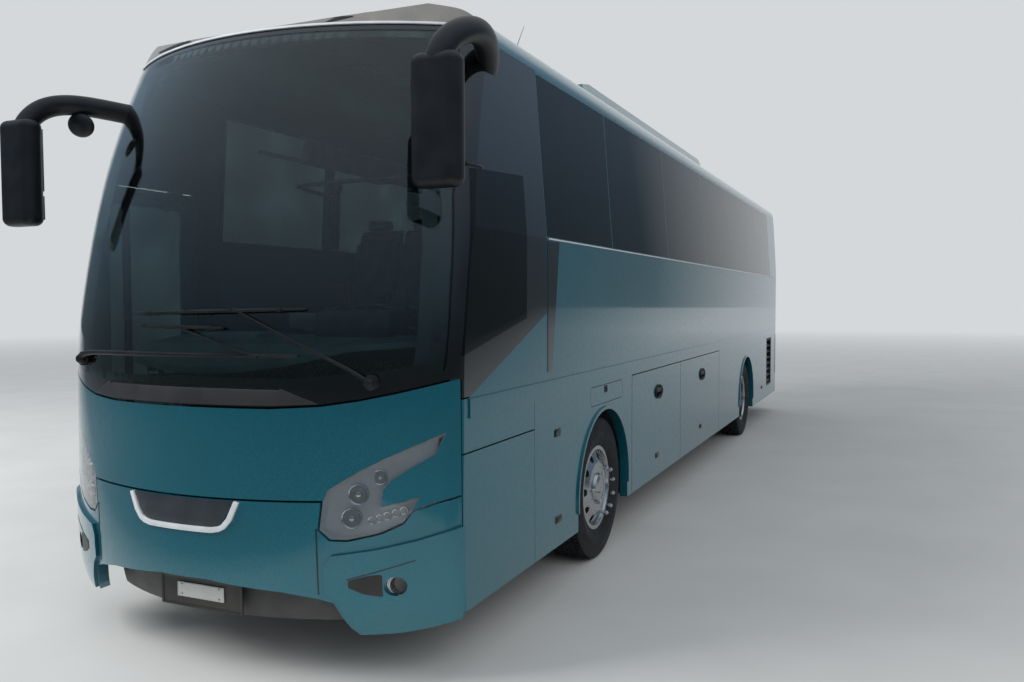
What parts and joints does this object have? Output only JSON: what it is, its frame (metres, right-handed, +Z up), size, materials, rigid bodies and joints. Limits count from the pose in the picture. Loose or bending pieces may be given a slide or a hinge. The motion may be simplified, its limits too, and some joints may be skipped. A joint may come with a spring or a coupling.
{
  "type": "coach bus",
  "caption": "Two-axle high-deck touring coach with a curved windscreen, steered front wheels, side luggage flaps, lids and an entrance door.",
  "frame": {"origin": "on the ground under the middle of the body", "axes": "+X forward along the coach, +Y to its left, +Z up"},
  "size_m": [12.2158, 2.935, 3.66],
  "materials": {
    "paint": "metallic teal coach paint",
    "black_gloss": "black gloss surround",
    "dark_trim": "dark grey moulded plastic",
    "tinted_glass": "tinted safety glass",
    "clear_glass": "clear laminated glass",
    "lamp": "clear lamp lens over a satin reflector",
    "lamp_red": "red lamp lens",
    "moulding": "painted aluminium moulding",
    "frame_steel": "black painted steel",
    "floor": "sealed plywood floor",
    "axle_iron": "painted cast iron",
    "wheel_alloy": "polished alloy",
    "tyre": "road tyre rubber",
    "seat_fabric": "woven seat cover",
    "curtain": "pleated curtain cloth",
    "dash": "grained dashboard moulding",
    "mirror_shell": "dark blue-black mirror shell",
    "rack": "light grey rack moulding",
    "roof_unit": "painted moulded cover"
  },
  "bodies": {
    "root": {"chassis_frame": "frame_steel", "deck_floor": "floor", "hold_floor": "floor", "entrance_floor": "floor", "front_axle_beam": "axle_iron", "rear_axle": "axle_iron", "engine_block": "axle_iron", "side_walls": "paint", "side_glass": "tinted_glass", "roof_panel": "paint", "roof_front_cap": "dark_trim", "roof_air_conditioner": "roof_unit", "windscreen": "clear_glass", "windscreen_frame": "black_gloss", "quarter_panels": "paint", "skirts": "paint", "belt_mouldings": "moulding", "front_bumper": "paint", "front_lip": "dark_trim", "fog_lamps": "lamp", "mirrors": "mirror_shell", "wipers": "dark_trim", "rear_wall": "paint", "rear_window": "tinted_glass", "rear_bumper": "paint", "tail_lamps": "lamp_red", "side_louvres": "dark_trim", "dashboard": "dash", "driver_seat": "seat_fabric", "passenger_seats": "seat_fabric", "luggage_racks": "rack", "curtains": "curtain"},
    "knuckle_left": {"knuckle_left": "axle_iron"},
    "knuckle_right": {"knuckle_right": "axle_iron"},
    "front_wheel_left": {"front_wheel_left": "wheel_alloy", "front_tyre_left": "tyre"},
    "front_wheel_right": {"front_wheel_right": "wheel_alloy", "front_tyre_right": "tyre"},
    "rear_wheels_left": {"rear_wheels_left": "wheel_alloy", "rear_tyres_left": "tyre"},
    "rear_wheels_right": {"rear_wheels_right": "wheel_alloy", "rear_tyres_right": "tyre"},
    "steering_wheel": {"steering_wheel": "dark_trim"},
    "front_lid_arms": {"front_lid_arms": "frame_steel"},
    "front_lid": {"front_lid": "paint", "headlamps": "lamp"},
    "engine_lid": {"engine_lid": "paint"},
    "luggage_flap_front_left": {"luggage_flap_front_left": "paint"},
    "luggage_flap_rear_left": {"luggage_flap_rear_left": "paint"},
    "luggage_flap_front_right": {"luggage_flap_front_right": "paint"},
    "luggage_flap_rear_right": {"luggage_flap_rear_right": "paint"},
    "driver_flap": {"driver_flap": "paint"},
    "fuel_flap": {"fuel_flap": "paint"},
    "front_door_arm": {"front_door_arm": "frame_steel"},
    "front_door": {"front_door": "paint", "front_door_glass": "clear_glass"},
    "roof_hatch_front": {"roof_hatch_front": "roof_unit"},
    "roof_hatch_rear": {"roof_hatch_rear": "roof_unit"}
  },
  "joints": [
    {"name": "steer_left", "type": "hinge", "parent": "root", "child": "knuckle_left", "pos_m": [3.35, 1, 0.505], "axis": [0, 0, 1], "range_deg": [-45, 45]},
    {"name": "steer_right", "type": "hinge", "parent": "root", "child": "knuckle_right", "pos_m": [3.35, -1, 0.505], "axis": [0, 0, 1], "range_deg": [-45, 45]},
    {"name": "steering_wheel_turn", "type": "hinge", "parent": "root", "child": "steering_wheel", "pos_m": [5.17, 0.62, 1.7], "axis": [-0.5736, 0, 0.8192], "range_deg": [-810, 810]},
    {"name": "front_wheel_left_spin", "type": "hinge", "parent": "knuckle_left", "child": "front_wheel_left", "pos_m": [3.35, 1.097, 0.505], "axis": [0, 1, 0], "continuous": true},
    {"name": "front_wheel_right_spin", "type": "hinge", "parent": "knuckle_right", "child": "front_wheel_right", "pos_m": [3.35, -1.097, 0.505], "axis": [0, 1, 0], "continuous": true},
    {"name": "rear_wheels_left_spin", "type": "hinge", "parent": "root", "child": "rear_wheels_left", "pos_m": [-2.9, 1.095, 0.505], "axis": [0, 1, 0], "continuous": true},
    {"name": "rear_wheels_right_spin", "type": "hinge", "parent": "root", "child": "rear_wheels_right", "pos_m": [-2.9, -1.095, 0.505], "axis": [0, 1, 0], "continuous": true},
    {"name": "front_lid_lift", "type": "hinge", "parent": "root", "child": "front_lid_arms", "pos_m": [5.74794, 0, 1.52955], "axis": [0, -1, 0], "range_deg": [0, 76]},
    {"name": "front_lid_level", "type": "hinge", "parent": "front_lid_arms", "child": "front_lid", "pos_m": [5.67, 0, 0.975], "axis": [0, -1, 0], "range_deg": [-76, 0]},
    {"name": "engine_lid_lift", "type": "hinge", "parent": "root", "child": "engine_lid", "pos_m": [-6.1, 0, 1.596], "axis": [0, 1, 0], "range_deg": [0, 80]},
    {"name": "door_swing", "type": "hinge", "parent": "root", "child": "front_door_arm", "pos_m": [5.36, -1.12, 1.5], "axis": [0, 0, 1], "range_deg": [0, 105]},
    {"name": "door_level", "type": "hinge", "parent": "front_door_arm", "child": "front_door", "pos_m": [4.94, -1.12, 1.5], "axis": [0, 0, 1], "range_deg": [-105, 0]},
    {"name": "driver_flap_lift", "type": "hinge", "parent": "root", "child": "driver_flap", "pos_m": [5.12, 1.275, 1.099], "axis": [1, 0, 0], "range_deg": [0, 90]},
    {"name": "fuel_flap_swing", "type": "hinge", "parent": "root", "child": "fuel_flap", "pos_m": [3.664, 1.275, 1.18], "axis": [0, 0, -1], "range_deg": [0, 110]},
    {"name": "luggage_flap_front_left_lift", "type": "hinge", "parent": "root", "child": "luggage_flap_front_left", "pos_m": [1.837, 1.275, 1.254], "axis": [1, 0, 0], "range_deg": [0, 90]},
    {"name": "luggage_flap_rear_left_lift", "type": "hinge", "parent": "root", "child": "luggage_flap_rear_left", "pos_m": [0.0425, 1.275, 1.254], "axis": [1, 0, 0], "range_deg": [0, 90]},
    {"name": "luggage_flap_front_right_lift", "type": "hinge", "parent": "root", "child": "luggage_flap_front_right", "pos_m": [1.837, -1.275, 1.254], "axis": [-1, 0, 0], "range_deg": [0, 90]},
    {"name": "luggage_flap_rear_right_lift", "type": "hinge", "parent": "root", "child": "luggage_flap_rear_right", "pos_m": [0.0425, -1.275, 1.254], "axis": [-1, 0, 0], "range_deg": [0, 90]},
    {"name": "roof_hatch_front_tilt", "type": "hinge", "parent": "root", "child": "roof_hatch_front", "pos_m": [4.39, 0, 3.453], "axis": [0, 1, 0], "range_deg": [0, 30]},
    {"name": "roof_hatch_rear_tilt", "type": "hinge", "parent": "root", "child": "roof_hatch_rear", "pos_m": [-3.51, 0, 3.453], "axis": [0, 1, 0], "range_deg": [0, 30]}
  ],
  "couplings": [
    {"joint": "steer_right", "follows": "steer_left", "ratio": 1},
    {"joint": "steering_wheel_turn", "follows": "steer_left", "ratio": 18},
    {"joint": "front_lid_level", "follows": "front_lid_lift", "ratio": -1},
    {"joint": "door_level", "follows": "door_swing", "ratio": -1}
  ]
}
